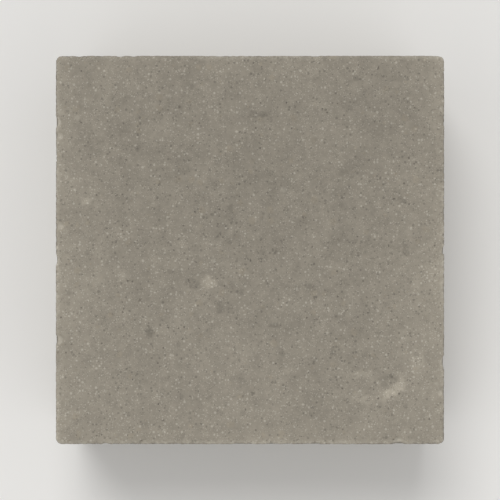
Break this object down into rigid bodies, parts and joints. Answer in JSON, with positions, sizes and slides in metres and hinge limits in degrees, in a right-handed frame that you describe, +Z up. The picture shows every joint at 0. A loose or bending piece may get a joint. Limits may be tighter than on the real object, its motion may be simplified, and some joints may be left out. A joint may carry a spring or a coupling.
{
  "type": "concrete paving stone",
  "caption": "Square cast concrete paving stone with crisp edges and upright spacer nibs on its sides, laid flat on a bed to surface a path or yard.",
  "frame": {"origin": "centre of the bed face, which lies on the ground", "axes": "+Z up, from the bed face to the wearing face; X and Y along the sides of the square"},
  "size_m": [0.202, 0.202, 0.08],
  "materials": {
    "concrete": "matte"
  },
  "bodies": {
    "root": {"paving_stone": "concrete"}
  },
  "joints": []
}
